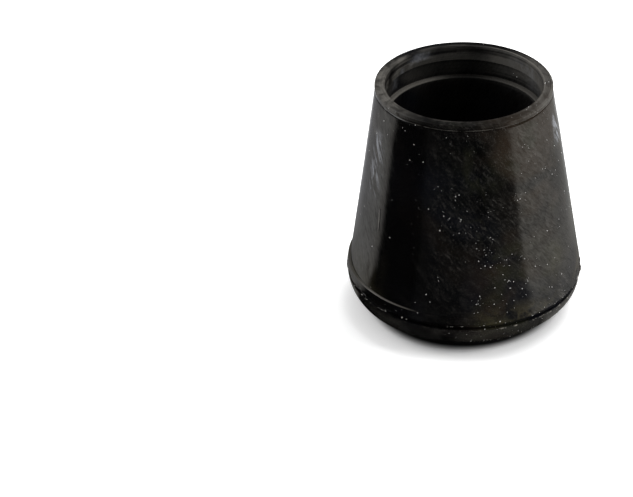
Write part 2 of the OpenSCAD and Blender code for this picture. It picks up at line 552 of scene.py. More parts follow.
def revolve_tree():
    """Turns an ordered section round the Z axis, with a ragged flash and walls that
    wander a little, as moulded rubber does."""
    tree, ids, given, output = new_shape_tree(
        "Revolve section",
        {
            "Section": ("NodeSocketObject", None),
            "Section points": ("NodeSocketInt", 2),
            "Steps round": ("NodeSocketInt", 64),
            "Unevenness": ("NodeSocketFloat", 0.0),
            "Flash width": ("NodeSocketFloat", 0.0),
            "Shortest flash": ("NodeSocketFloat", 0.0),
            "Flash wander": ("NodeSocketFloat", 0.0),
            "Slip right": ("NodeSocketFloat", 0.0),
            "Slip forward": ("NodeSocketFloat", 0.0),
            "Parting tilt": ("NodeSocketFloat", 0.0),
            "Rim tilt": ("NodeSocketFloat", 0.0),
            "Parting height": ("NodeSocketFloat", 0.0),
            "Height": ("NodeSocketFloat", 0.0),
            "Material": ("NodeSocketMaterial", None),
        },
    )
    section = put(
        tree, "GeometryNodeObjectInfo", {"Object": given.outputs["Section"]}
    ).outputs["Geometry"]
    across = Field(given.outputs["Section points"])
    steps = Field(given.outputs["Steps round"])
    grid = put(
        tree, "GeometryNodeMeshGrid", {"Vertices X": across, "Vertices Y": steps + 1.0}
    ).outputs["Mesh"]
    place = put(
        tree, "ShaderNodeSeparateXYZ", {0: put(tree, "GeometryNodeInputPosition").outputs[0]}
    )
    column, line = Field(place.outputs["X"]), Field(place.outputs["Y"])
    row = calc(tree, "ROUND", (column + 0.5) * (across - 1.0))
    turn = (line + 0.5) * -math.tau

    def take(kind, value):
        made = put(
            tree,
            "GeometryNodeSampleIndex",
            {"Geometry": section, "Value": value, "Index": row},
            data_type=kind,
            domain="POINT",
        )
        return Field(made.outputs[0])

    def mark(title):
        return put(
            tree, "GeometryNodeInputNamedAttribute", {"Name": title}, data_type="FLOAT"
        ).outputs[0]

    track = put(
        tree,
        "ShaderNodeSeparateXYZ",
        {0: take("FLOAT_VECTOR", put(tree, "GeometryNodeInputPosition").outputs[0])},
    )
    up = Field(track.outputs["Z"])
    give = take("FLOAT", mark("give"))
    flash = take("FLOAT", mark("flash"))
    cos, sin = calc(tree, "COSINE", turn), calc(tree, "SINE", turn)
    ring = combine(tree, cos, sin)

    # Flash: long stretches pulled clean and short stretches left standing.
    tear = (
        noise(tree, ring, 9.0, 2.0).ramp(0.40, 0.62)
        + (noise(tree, ring, 60.0, 3.0, 0.7) - 0.5) * 1.1
    ).clamped()
    tear = calc(tree, "MAXIMUM", tear, given.outputs["Shortest flash"])
    square = calc(tree, "MAXIMUM", calc(tree, "ABSOLUTE", cos), calc(tree, "ABSOLUTE", sin))
    reach = calc(tree, "MAXIMUM", tear, square.ramp(0.9995, 0.99995))
    short = flash * given.outputs["Flash width"] * (1.0 - reach)
    # Only the flash's own points draw back; the ones on the bead stay.
    short = short * flash.ramp(0.5, 0.9)
    drift = (noise(tree, ring, 7.0, 4.0, 0.65) - 0.5) * given.outputs["Flash wander"] * 2.0
    drift = drift * flash

    # Walls: a slow wander of the radius, none where the tip stands or is widest.
    stand = combine(tree, cos, sin, up * 45.0)
    wander = (noise(tree, stand, 1.5, 1.0) - 0.5) * 2.0 + (noise(tree, stand, 6.0, 2.0) - 0.5) * 0.5
    wander = wander * given.outputs["Unevenness"] * give
    radius = track.outputs["X"] - short + wander
    # The halves of the mould sat a little apart, the upper one forward and to the right.
    half = take("FLOAT", mark("half"))
    across_x = radius * cos + half * given.outputs["Slip right"]
    across_y = radius * sin - half * given.outputs["Slip forward"]
    # The parting line lies a little out of square, lower on the right, and so does
    # the rim; the ring the tip stands on does not.
    tall, parting = Field(given.outputs["Height"]), Field(given.outputs["Parting height"])

    def span(value, low, high, step):
        return value.ramp(step + low, step + high)

    near_parting = span(up, -4.8 * MM, -1.0 * MM, parting) * (
        1.0 - span(up, 5.0 * MM, 17.0 * MM, parting)
    )
    drop = across_x * given.outputs["Parting tilt"] * near_parting
    drop = drop + (across_x + RIM_HINGE) * given.outputs["Rim tilt"] * span(
        up, -RIM_LEAN_FROM, -RIM_LEAN_FULL, tall
    )
    final = combine(tree, across_x, across_y, up + drift - drop)
    turned = put(
        tree, "GeometryNodeSetPosition", {"Geometry": grid, "Position": final}
    ).outputs[0]
    closed = put(
        tree, "GeometryNodeMergeByDistance", {"Geometry": turned, "Distance": 1e-6}
    ).outputs[0]
    smooth = put(tree, "GeometryNodeSetShadeSmooth", {"Geometry": closed}).outputs[0]
    finish_tree(tree, smooth, given.outputs["Material"], output)
    return tree, ids


# Chalky rubs inside the mouth: middle and half width in degrees, top and bottom
# below the rim in millimetres, strength.
RUBS = (
    (-152.0, 6.0, 0.0, 1.7, 0.34),
    (-143.0, 5.0, 0.6, 1.9, 0.20),
    (-124.0, 4.0, 2.0, 4.6, 0.11),
    (-132.0, 3.0, 1.2, 2.8, 0.16),
    (112.0, 9.0, 1.8, 4.8, 0.13),
    (118.0, 14.0, 0.3, 2.4, 0.22),
)

# Small nicks in the outside: degrees right of the front, then height, half width and
# half height in millimetres, then depth as a share of the nick depth.
NICKS = (
    (47.0, 10.2, 0.55, 0.75, 1.0),
    (45.0, 8.9, 0.30, 0.40, 0.8),
    (-61.0, 11.0, 0.40, 0.60, 0.6),
    (71.0, 7.3, 0.50, 0.30, 1.3),
    (78.0, 6.9, 0.60, 0.35, 1.5),
    (-66.0, 6.5, 0.45, 0.30, 1.4),
    (5.0, 7.4, 0.35, 0.25, 0.8),
    (58.0, 29.5, 0.60, 0.70, 0.7),
    (150.0, 18.0, 0.80, 0.60, 0.8),
    (-140.0, 24.0, 0.50, 0.90, 0.8),
    (-118.0, 7.2, 0.60, 0.35, 1.4),
    (122.0, 7.1, 0.50, 0.35, 1.3),
)


def press_nicks(mesh, depth):
    """Pushes small nicks into the outside of the tip."""
    co = np.empty(len(mesh.vertices) * 3)
    mesh.vertices.foreach_get("co", co)
    co = co.reshape(-1, 3)
    r = np.hypot(co[:, 0], co[:, 1])
    turn = np.degrees(np.arctan2(co[:, 0], -co[:, 1]))
    outside = r > OUTSIDE_R
    for angle, height, wide, tall, share_of in NICKS:
        away = np.radians((turn - angle + 180) % 360 - 180) * r
        fall = np.exp(
            -((away / (wide * MM)) ** 2) - (((co[:, 2] - height * MM) / (tall * MM)) ** 2)
        )
        dent = fall * depth * share_of * outside
        scale = 1 - dent / np.maximum(r, 1e-6)
        co[:, 0] *= scale
        co[:, 1] *= scale
    mesh.vertices.foreach_set("co", co.ravel())
    mesh.update()


# ---------------------------------------------------------------- materials


def object_place(tree):
    """Object coordinates as a vector and as x, y and z, and the radius from the axis."""
    place = put(tree, "ShaderNodeTexCoord").outputs["Object"]
    parts = put(tree, "ShaderNodeSeparateXYZ", {0: place})
    x, y, z = [Field(part) for part in parts.outputs]
    radius = calc(tree, "SQRT", x * x + y * y)
    return place, x, y, z, radius


def bearing(tree, x, y):
    """Angle round the axis, 0 at the front and positive to the right, in radians."""
    return calc(tree, "ARCTAN2", x, y * -1.0)


def mix(tree, factor, a, b):
    """A colour mix. Each colour is a socket or three plain numbers."""
    made = put(tree, "ShaderNodeMix", {0: factor}, data_type="RGBA")
    for index, value in ((6, a), (7, b)):
        feed(tree, made.inputs[index], (*value, 1.0) if isinstance(value, tuple) else value)
    return made.outputs[2]


def new_material(name):
    """A material and its node tree, which is still empty."""
    material = bpy.data.materials.new(name)
    material.use_nodes = True
    material.node_tree.nodes.clear()
    return material, material.node_tree


def finish_material(tree, shader):
    """Links a shader to the material's output."""
    out = put(tree, "ShaderNodeOutputMaterial")
    tree.links.new(shader.outputs[0], out.inputs[0])


def rubber_material(tip, marks, finish):
    """Black moulded rubber: cool and warm bloom, wipe marks, pale film, tooling
    lines on the turned faces and a fine grain, with painted highlights, reflections
    and shade at the rim, lip, ledge, mouth, bead step, shoulder edge, lower walls and groove."""
    material, tree = new_material("moulded_black_rubber")
    place, x, y, z, radius = object_place(tree)
    angle = bearing(tree, x, y)

    # Heights near the rim are taken square to the tilted rim.
    leaning = z.ramp(tip.height - RIM_LEAN_FROM, tip.height - RIM_LEAN_FULL)
    up = z + (x + RIM_HINGE) * marks.rim_tilt * leaning

    # Heights near the parting line are taken square to that line.
    level = z + x * marks.tilt
    groove_z = tip.parting - tip.groove_height
    # Painted shade in the groove under the flash: here the pale film is taken off and the sheen cut
    # down. The mask stops lower on the left and is left out on the right.
    flash_z = level + angle.sector(-58, 32, 8) * (0.20 * MM)
    groove = flash_z.ramp(tip.parting + 0.24 * MM, tip.parting + 0.14 * MM) * level.ramp(
        groove_z - 0.30 * MM, groove_z - 0.20 * MM
    )
    groove = groove * (1.0 - angle.sector(96, 34, 8))

    # Where the faces are: rim, inside of the mouth, underside.
    inside = radius.ramp(tip.relief_r + 0.25 * MM, tip.relief_r + 0.15 * MM) * z.ramp(
        tip.sole - 0.5 * MM, tip.sole - 0.4 * MM
    )
    rim = up.ramp(tip.height - 0.14 * MM, tip.height - 0.05 * MM)
    under = z.ramp(tip.foot_height + 0.5 * MM, tip.foot_height + 0.1 * MM)
    turned = calc(tree, "MAXIMUM", calc(tree, "MAXIMUM", inside, rim), under)

    # Wipe marks run in shallow diagonals round the wall.
    twist = put(
        tree, "ShaderNodeVectorRotate", {"Vector": place, "Angle": z * WIPE_TWIST},
        rotation_type="Z_AXIS",
    ).outputs[0]

    def stretched(vector, height):
        """A vector with its height scaled. Below 1 its pattern is drawn out upwards."""
        return vector_calc(tree, "MULTIPLY", vector, (1.0, 1.0, height))

    wipes = noise(tree, stretched(twist, 0.42), 2600.0, 3.0, 0.62, 0.9)
    broad_wipes = noise(tree, stretched(twist, 0.55), 520.0, 4.0, 0.65, 1.0)
    patches = noise(tree, place, 150.0, 3.0, 0.55, 0.6)
    clouds = noise(tree, place, 70.0, 2.0, 0.5, 0.3)
    moved = vector_calc(tree, "ADD", place, (0.31, 0.12, 0.07))
    drift = noise(tree, moved, 95.0, 2.0, 0.55, 0.5)

    handled = 1.0 - angle.sector(-48, 20, 6) * 0.8
    cool = clouds.ramp(0.44, 0.66) * handled
    warm = drift.ramp(0.45, 0.65)
    olive = patches.ramp(0.50, 0.70)
    warm_side = warm * (handled * 0.20 + angle.sector(48, 42, 14) * 0.80)
    colour = mix(tree, cool * 0.8, tuple(finish.black), tuple(finish.blue_black))
    colour = mix(tree, warm_side, colour, tuple(finish.brown_black))
    olive_side = olive * (handled * 0.10 + angle.sector(32, 38, 14) * 0.7)
    colour = mix(tree, olive_side, colour, tuple(finish.olive_black))

    # Lines left by the turned mould: they follow the radius on flat faces and the
    # height on upright ones.
    line_place = combine(tree, radius, z, angle * 0.00002)
    lines = noise(tree, line_place, 3400.0, 3.0, 0.7) * 0.6
    lines = lines + noise(tree, line_place, 900.0, 1.0, 0.5) * 0.6
    lines = lines + noise(tree, line_place, 14000.0, 1.0, 0.5) * 0.10
    ringed = lines.ramp(0.50, 0.76, 0.12, 1.7)

    # Pale film: dusty smears at the widest parts and by the rim.
    shifted = vector_calc(tree, "ADD", twist, (0.05, 0.4, 0.2))
    smear = noise(tree, shifted, 260.0, 4.0, 0.6, 0.8).ramp(0.56, 0.78)
    smear = smear * broad_wipes.ramp(0.40, 0.62)
    left_smear = angle.sector(-78, 16, 9) * z.ramp(14.0 * MM, 30.0 * MM)
    right_smear = angle.sector(66, 9, 6) * z.ramp(27.0 * MM, 30.5 * MM)
    low_smear = angle.sector(34, 30, 20) * z.ramp(13.0 * MM, 8.5 * MM)
    smear_place = (0.05 + (left_smear + right_smear + low_smear * 0.6)).clamped()
    film = (smear * smear_place * (finish.film_amount * 3.0)).clamped()
    # Inside the mouth the film lies in blotches that the tooling lines cut through.
    blotch = noise(tree, stretched(place, 1.6), 330.0, 3.0, 0.6, 0.7)
    blotch = blotch.ramp(0.40, 0.60, 0.12, 1.0)
    lead_z, ledge_z = tip.height - tip.lead_in_depth, tip.height - tip.ledge_depth
    mouth = inside * up.ramp(ledge_z - 1.0 * MM, ledge_z)
    mouth = mouth * up.ramp(lead_z - 0.15 * MM, lead_z + 0.10 * MM, 0.26, 1.0)
    # The mouth's left and right sides are lighter still, partly pale film and partly painted
    # reflection.
    side_film_and_painted_reflection = angle.sector(112, 32, 22) * (blotch + 1.0) + angle.sector(-118, 26, 22) * blotch * 0.5
    inner_film_and_painted_reflection = patches.ramp(0.40, 0.64) * 0.62 + side_film_and_painted_reflection * 2.1
    inner_film_and_painted_reflection = inner_film_and_painted_reflection * mouth * ringed * (finish.film_amount * 1.25)
    shoulder_film = patches.ramp(0.30, 0.70) * (finish.film_amount * 0.5) * z.band(
        tip.foot_height - 0.2 * MM,
        tip.foot_height + 1.0 * MM,
        tip.parting - 1.2 * MM,
        tip.parting - 0.4 * MM,
    )
    front_specks = noise(tree, place, 900.0, 3.0, 0.7, 0.4).ramp(0.48, 0.66) * 0.14
    # On the rim a thin film lies all round with specks at the front, and its left and right sides
    # are painted pale in the film colour: painted sheen.
    rim_film_and_painted_sheen = 0.04 + angle.sector(86, 40, 22) + angle.sector(-86, 36, 22)
    rim_film_and_painted_sheen = rim_film_and_painted_sheen + angle.sector(12, 40, 22) * front_specks
    rim_film_and_painted_sheen = rim_film_and_painted_sheen * ringed * broad_wipes.ramp(0.30, 0.62, 0.35, 1.0)
    rim_film_and_painted_sheen = rim_film_and_painted_sheen * up.ramp(tip.height - 0.75 * MM, tip.height - 0.35 * MM)
    film = calc(tree, "MAXIMUM", film, calc(tree, "MAXIMUM", inner_film_and_painted_reflection, shoulder_film))
    film = calc(tree, "MAXIMUM", film, rim_film_and_painted_sheen * 0.62)
    # A pale band on the ledge, lighter on its left and right sides, in the film colour: painted
    # highlight.
    ledge_painted_highlight = 0.16 + angle.sector(118, 34, 20) * 0.75 + angle.sector(-128, 38, 16) * 0.95
    ledge_painted_highlight = ledge_painted_highlight * inside * up.band(
        ledge_z - 0.32 * MM, ledge_z - 0.12 * MM, ledge_z + 0.06 * MM, ledge_z + 0.16 * MM
    )
    film = calc(tree, "MAXIMUM", film, ledge_painted_highlight)
    # No pale film in the groove: painted shade.
    film = film * (1.0 - groove)
    colour = mix(tree, film, colour, tuple(finish.film))
    # A fine light line is painted along the lower edge of the lip: painted highlight.
    lip_z = tip.height - tip.lip_height
    lip_painted_highlight = noise(tree, place, 420.0, 3.0, 0.7, 0.3).ramp(0.40, 0.60, 0.0, 0.55)
    lip_painted_highlight = lip_painted_highlight * (1.0 - inside) * up.band(
        lip_z - 0.05 * MM, lip_z + 0.02 * MM, lip_z + 0.10 * MM, lip_z + 0.20 * MM
    )
    colour = mix(tree, lip_painted_highlight, colour, tuple(finish.film))
    # The step that the slipped halves leave on the bead is painted pale on the left: painted
    # reflection.
    step_z = tip.parting + tip.bead_height
    step_painted_reflection = angle.sector(-70, 38, 8) * 0.85 * level.band(
        step_z - 0.07 * MM, step_z - 0.02 * MM, step_z + 0.05 * MM, step_z + 0.12 * MM
    )
    colour = mix(tree, step_painted_reflection, colour, tuple(finish.film))
    # A brown-olive stain low on the right, just above the parting line.
    line_z = tip.parting
    stain = noise(tree, place, 420.0, 3.0, 0.6, 0.5).ramp(0.42, 0.62) * 0.42
    stain = stain * angle.sector(24, 22, 10)
    stain = stain * level.band(line_z, line_z + 0.2 * MM, line_z + 1.2 * MM, line_z + 3.6 * MM)
    colour = mix(tree, stain, colour, tuple(finish.stain))
    # A warm tint in the stain colour, low on the bright left and right bands of the wall: painted
    # reflection.
    warm_painted_reflection = drift.ramp(0.30, 0.60) * 0.34
    warm_painted_reflection = warm_painted_reflection * (angle.sector(-66, 16, 8) + angle.sector(62, 20, 8))
    warm_painted_reflection = warm_painted_reflection * level.band(
        line_z + 1.2 * MM, line_z + 1.6 * MM, line_z + 3.0 * MM, line_z + 13.0 * MM
    )
    colour = mix(tree, warm_painted_reflection, colour, tuple(finish.stain))
    # Rubbed spots far back in the mouth, and a bruise of pale rings on its right.
    ragged = noise(tree, stretched(place, 0.8), 800.0, 4.0, 0.62, 0.6).ramp(0.34, 0.66)
    for middle, half, top, bottom, strength in RUBS:
        rub = ragged * strength * inside * angle.sector(middle, half, half)
        low, high = tip.height - bottom * MM, tip.height - top * MM
        rub = rub * up.band(low, low + RUB_EDGE, high - RUB_EDGE, high)
        colour = mix(tree, rub, colour, tuple(finish.chalk))
    # The torn edge left along the top of the shoulder, strongest on the right: partly torn rubber
    # and partly a painted highlight where that edge catches light.
    torn = noise(tree, place, 1300.0, 3.0, 0.7, 0.3).ramp(0.50, 0.62)
    torn = torn * (0.05 + angle.sector(46, 34, 16) * 0.60) * level.band(
        groove_z - 0.55 * MM, groove_z - 0.32 * MM, groove_z - 0.24 * MM, groove_z - 0.18 * MM
    )
    colour = mix(tree, torn, colour, tuple(finish.torn))
    # Dull wiped strokes that take the black off the wall.
    stroke = wipes.ramp(0.48, 0.72) * broad_wipes.ramp(0.38, 0.64)
    stroke = stroke * (
        0.005 + angle.sector(14, 37, 4) * z.ramp(7.0 * MM, 17.0 * MM, 0.10, 0.30)
    )
    colour = mix(tree, stroke, colour, tuple(finish.film))
    # Fine specks of filler in the rubber.
    grit = noise(tree, place, 5200.0, 1.0, 0.5).ramp(0.66, 0.76)
    colour = mix(tree, grit * (0.012 + angle.sector(20, 43, 5) * 0.24), colour, tuple(finish.film))
    # Two chalky smudges high on the wall, where fingers or a box rubbed it.
    rubbed = noise(tree, stretched(twist, 0.35), 900.0, 4.0, 0.7, 0.5)
    smudge_left = angle.sector(-67, 5, 5) * z.band(20 * MM, 26 * MM, 30 * MM, 33 * MM)
    smudge_right = angle.sector(72, 4, 4) * z.band(28 * MM, 30 * MM, 32.5 * MM, 34 * MM)
    smudge = ((smudge_left * 0.7 + smudge_right) * rubbed.ramp(0.42, 0.62)).clamped()
    colour = mix(tree, smudge, colour, tuple(finish.chalk))
    # Grease and wipe marks make the sheen of the wall patchy.
    sheen = wipes * 0.6 + broad_wipes * 0.4
    sheen = sheen.ramp(0.34, 0.64, 0.24, 0.66)
    # Less sheen in the groove: painted shade.
    sheen = sheen * (1.0 - groove * 0.9)
    # The rim's front and back get less sheen than its sides, a painted shade; the mouth gets a
    # little less sheen too.
    dull_and_painted_shade = calc(tree, "MAXIMUM", angle.sector(-6, 44, 22), angle.sector(176, 34, 20))
    dull_and_painted_shade = dull_and_painted_shade * up.ramp(tip.height - 1.3 * MM, tip.height - 0.9 * MM)
    dull_and_painted_shade = calc(tree, "MAXIMUM", dull_and_painted_shade * 0.55, inside * 0.25)
    sheen = sheen * (1.0 - dull_and_painted_shade)

    wiped = wipes - 0.5 + (broad_wipes - 0.5) * 1.2
    rough = finish.roughness + wiped * (finish.wipe_roughness * 2.0)
    rough = rough + film * 0.5
    rough = (rough + turned * (finish.cut_roughness - finish.roughness)).clamped()

    line_mask = (turned + z.ramp(tip.height - 7.0 * MM, tip.height - 1.5 * MM) * 0.22).clamped()
    line_height = lines * line_mask * (LINE_BUMP * finish.tooling)
    grain = noise(tree, place, 2600.0, 4.0, 0.6) * 0.5 + noise(tree, place, 700.0, 2.0, 0.5) * 1.4
    grain_height = grain * (GRAIN_BUMP * finish.grain)
    wipe_height = (wipes + broad_wipes) * WIPE_BUMP
    height = line_height + grain_height + wipe_height
    bump = put(
        tree, "ShaderNodeBump", {"Strength": 1.0, "Distance": 1.0, "Height": height}
    ).outputs[0]

    shader = put(
        tree,
        "ShaderNodeBsdfPrincipled",
        {
            "Base Color": colour,
            "Roughness": rough,
            "Normal": bump,
            "IOR": 1.52,
            "Specular IOR Level": sheen,
        },
    )
    finish_material(tree, shader)
    return material


def chalky_material(name, colour, roughness, scale):
    """Dry pale matter, such as dust, hairs and torn rubber, uneven in tone."""
    material, tree = new_material(name)
    place = put(tree, "ShaderNodeTexCoord").outputs["Object"]
    tone = noise(tree, place, scale, 2.0, 0.6).ramp(0.35, 0.65)
    dark = tuple(0.35 * c for c in colour)
    shader = put(
        tree,
        "ShaderNodeBsdfPrincipled",
        {"Base Color": mix(tree, tone, dark, tuple(colour)), "Roughness": roughness},
    )
    bump = put(
        tree,
        "ShaderNodeBump",
        {
            "Strength": 0.4,
            "Distance": 0.00002,
            "Height": noise(tree, place, 9000.0, 2.0, 0.6),
        },
    ).outputs[0]
    tree.links.new(bump, shader.inputs["Normal"])
    finish_material(tree, shader)
    return material


# ---------------------------------------------------------------- scattered pieces


def dust_tree():
    """Specks of dust on the outside of a mesh, thicker in some places."""
    tree, ids, given, output = new_shape_tree(
        "Dust specks",
        {
            "Body": ("NodeSocketObject", None),
            "Density": ("NodeSocketFloat", 1000.0),
            "Seed": ("NodeSocketInt", 0),
            "Largest": ("NodeSocketFloat", 0.0001),
            "Lowest": ("NodeSocketFloat", 0.0),
            "Highest": ("NodeSocketFloat", 1.0),
            "Innermost": ("NodeSocketFloat", 0.0),
            "Outermost": ("NodeSocketFloat", 1.0),
            "Material": ("NodeSocketMaterial", None),
        },
    )
    body = put(tree, "GeometryNodeObjectInfo", {"Object": given.outputs["Body"]}).outputs[
        "Geometry"
    ]
    spread = put(
        tree,
        "GeometryNodeDistributePointsOnFaces",
        {"Mesh": body, "Density": given.outputs["Density"], "Seed": given.outputs["Seed"]},
    )
    where = put(tree, "GeometryNodeInputPosition").outputs[0]
    parts = put(tree, "ShaderNodeSeparateXYZ", {0: where})
    x, y, z = [Field(part) for part in parts.outputs]
    radius = calc(tree, "SQRT", x * x + y * y)
    angle = bearing(tree, x, y)
    seed = Field(given.outputs["Seed"])
    cluster = noise(tree, where, 170.0, 3.0, 0.65)
    # More dust right of the front and low down, less high up on the left.
    right = angle.sector(28, 46, 24) * z.ramp(34 * MM, 12 * MM, 0.35, 1.0)
    settled = cluster.ramp(0.42, 0.66) * (0.22 + right)
    drop = calc(tree, "GREATER_THAN", chance(tree, seed, 3.0), settled)
    for test in (
        calc(tree, "LESS_THAN", z, given.outputs["Lowest"]),
        calc(tree, "GREATER_THAN", z, given.outputs["Highest"]),
        calc(tree, "LESS_THAN", radius, given.outputs["Innermost"]),
        calc(tree, "GREATER_THAN", radius, given.outputs["Outermost"]),
    ):
        drop = calc(tree, "MAXIMUM", drop, test)
    kept = put(
        tree,
        "GeometryNodeDeleteGeometry",
        {
            "Geometry": spread.outputs["Points"],
            "Selection": calc(tree, "GREATER_THAN", drop, 0.5),
        },
        domain="POINT",
    ).outputs[0]
    speck = put(
        tree, "GeometryNodeMeshIcoSphere", {"Radius": 1.0, "Subdivisions": 1}
    ).outputs["Mesh"]
    big = calc(tree, "POWER", chance(tree, seed, 8.0), 2.2)
    grown = given.outputs["Largest"] * (0.30 + big * 0.70)
    stretch = chance(tree, seed, 21.0, 1.0, 2.0)
    shape = combine(tree, grown * stretch, grown, grown * 0.6)
    placed = put(
        tree,
        "GeometryNodeInstanceOnPoints",
        {
            "Points": kept,
            "Instance": speck,
            "Rotation": spread.outputs["Rotation"],
            "Scale": shape,
        },
    ).outputs[0]
    spun = put(
        tree,
        "GeometryNodeRotateInstances",
        {
            "Instances": placed,
            "Rotation": combine(tree, z=chance(tree, seed, 13.0, 0.0, math.tau)),
            "Local Space": True,
        },
    ).outputs[0]
    finish_tree(tree, spun, given.outputs["Material"], output)
    return tree, ids


def crumb_tree():
    """Torn crumbs of rubber along a ring at the flash."""
    tree, ids, given, output = new_shape_tree(
        "Flash crumbs",
        {
            "Count": ("NodeSocketInt", 10),
            "Ring radius": ("NodeSocketFloat", 0.017),
            "Ring height": ("NodeSocketFloat", 0.006),
            "Largest": ("NodeSocketFloat", 0.0001),
            "Seed": ("NodeSocketInt", 0),
            "Material": ("NodeSocketMaterial", None),
        },
    )
    points = put(tree, "GeometryNodePoints", {"Count": given.outputs["Count"]}).outputs[0]
    seed = Field(given.outputs["Seed"])

    # Crumbs gather in groups: most angles are drawn towards a few places.
    raw = chance(tree, seed, 1.0, 0.0, math.tau)
    turn = raw + calc(tree, "SINE", raw * 9.0) * 0.10
    big = calc(tree, "POWER", chance(tree, seed, 2.0), 3.0)
    grown = given.outputs["Largest"] * (0.28 + big * 0.72)
    out_r = given.outputs["Ring radius"] - grown * 1.35
    lift = given.outputs["Ring height"] + chance(tree, seed, 4.0, -0.16 * MM, 0.10 * MM)
    place = combine(
        tree, out_r * calc(tree, "COSINE", turn), out_r * calc(tree, "SINE", turn), lift
    )
    set_down = put(
        tree, "GeometryNodeSetPosition", {"Geometry": points, "Position": place}
    ).outputs[0]
    crumb = put(
        tree, "GeometryNodeMeshIcoSphere", {"Radius": 1.0, "Subdivisions": 2}
    ).outputs["Mesh"]
    lumps = put(
        tree,
        "ShaderNodeTexNoise",
        {"Vector": put(tree, "GeometryNodeInputPosition").outputs[0], "Scale": 1.7},
    ).outputs[1]
    lumpy = put(
        tree,
        "GeometryNodeSetPosition",
        {
            "Geometry": crumb,
            "Offset": vector_calc(tree, "MULTIPLY", lumps, (0.6, 0.6, 0.6)),
        },
    ).outputs[0]
    placed = put(
        tree,
        "GeometryNodeInstanceOnPoints",
        {
            "Points": set_down,
            "Instance": lumpy,
            "Rotation": combine(tree, 0.0, chance(tree, seed, 6.0, -0.6, 0.6), turn),
            "Scale": combine(
                tree, grown * 0.6, grown * chance(tree, seed, 7.0, 0.7, 1.8), grown * 0.55
            ),
        },
    ).outputs[0]
    finish_tree(tree, placed, given.outputs["Material"], output)
    return tree, ids


# Hairs and fine scratches on the wall: points as (degrees right of the front,
# height in mm).
HAIRS = (
    ((8.3, 19.3), (8.8, 17.6), (9.9, 16.1), (11.3, 14.8), (12.1, 13.9), (11.8, 13.0), (11.2, 12.2)),
    ((17.3, 24.6), (18.1, 23.8), (18.2, 22.9)),
    ((-57.5, 21.0), (-56.9, 19.4), (-56.7, 17.6)),
    ((31.0, 34.9), (36.0, 34.75), (41.5, 34.85)),
    ((9.5, 9.3), (10.3, 8.7), (10.2, 8.2)),
    ((19.0, 9.9), (20.6, 9.5), (21.4, 9.2)),
    ((160.0, 22.0), (163.0, 20.5), (164.0, 18.0)),
    ((-150.0, 15.0), (-146.0, 15.6), (-143.0, 15.2)),
    ((112.0, 27.0), (113.0, 25.4), (115.0, 24.6)),
)
# How far a hair's ridge stands out of the wall, and how far its edges go into it.
HAIR_RISE, HAIR_SINK = 0.035 * MM, 0.06 * MM


def hair_mesh(tip, width):
    """Narrow raised ribbons that lie on the tapered wall."""
    verts, faces = [], []
    for hair in HAIRS:
        track = np.array(hair, float)
        fine = []
        for a, b in zip(track[:-1], track[1:]):
            for t in np.linspace(0, 1, 6, endpoint=False):
                fine.append(a + (b - a) * t)
        fine.append(track[-1])
        fine = np.array(fine)
        start = len(verts)
        for i, (deg, height) in enumerate(fine):
            z = height * MM
            r = body_radius(tip, z)
            phi = math.radians(deg)
            out = np.array([math.sin(phi), -math.cos(phi), 0.0])
            side = np.array([math.cos(phi), math.sin(phi), 0.0])
            before, after = fine[max(i - 1, 0)], fine[min(i + 1, len(fine) - 1)]
            run = (
                side * math.radians(after[0] - before[0]) * r
                + np.array([0, 0, 1.0]) * (after[1] - before[1]) * MM
            )
            run /= np.linalg.norm(run)
            across = np.cross(out, run)
            half = width / 2 * (0.25 + 0.75 * math.sin(math.pi * (i + 0.5) / len(fine)))
            middle = out * r + np.array([0, 0, z])
            verts.append(middle - across * half - out * HAIR_SINK)
            verts.append(middle + out * HAIR_RISE)
            verts.append(middle + across * half - out * HAIR_SINK)
            if i:
                a = start + 3 * (i - 1)
                b = a + 3
                for j in range(3):
                    k = (j + 1) % 3
                    faces.append((a + j, a + k, b + k, b + j))
        last = start + 3 * (len(fine) - 1)
        faces.append((start, start + 2, start + 1))
        faces.append((last, last + 1, last + 2))
    mesh = bpy.data.meshes.new("hairs")
    mesh.from_pydata([tuple(v) for v in verts], [], faces)
    work = bmesh.new()
    work.from_mesh(mesh)
    bmesh.ops.recalc_face_normals(work, faces=work.faces)
    work.to_mesh(mesh)
    work.free()
    return mesh


# ---------------------------------------------------------------- operators


class TIP_OT_body(Operator):
    """Turn the section into the moulded body, with its ragged flash and nicks"""

    bl_idname = "leg_tip.body"
    bl_label = "Moulded body"

    def execute(self, context):
        tip, marks = context.scene.tip_sizes, context.scene.tip_marks
        material = rubber_material(tip, marks, context.scene.tip_rubber)
        section = bpy.data.objects.new("tip_section", section_mesh(tip, marks.lip_line))
        bpy.context.scene.collection.objects.link(section)
        tree, ids = revolve_tree()
        body = grow(
            "moulded_tip",
            tree,
            ids,
            {
                "Section": section,
                "Section points": len(section.data.vertices),
                "Steps round": tip.turns,
                "Unevenness": marks.unevenness,
                "Flash width": tip.flash_r - tip.bead_r,
                "Shortest flash": marks.flash_low,
                "Flash wander": marks.flash_wander,
                "Slip right": marks.slip * math.sin(marks.slip_turn),
                "Slip forward": marks.slip * math.cos(marks.slip_turn),
                "Parting tilt": marks.tilt,
                "Rim tilt": marks.rim_tilt,
                "Parting height": tip.parting,
                "Height": tip.height,
                "Material": material,
            },
        )
        bpy.data.objects.remove(section)
        press_nicks(body.data, marks.nick_depth)
        body.data.set_sharp_from_angle(angle=math.radians(38))
        work = bmesh.new()
        work.from_mesh(body.data)
        if work.calc_volume(signed=True) <= 0:
            raise RuntimeError("the body came out inside out")
        open_edges = sum(1 for e in work.edges if len(e.link_faces) != 2)
        work.free()
        if open_edges:
            raise RuntimeError(f"the body has {open_edges} open edges")
        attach(body, "root")
        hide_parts("leg_tip")
        return {"FINISHED"}


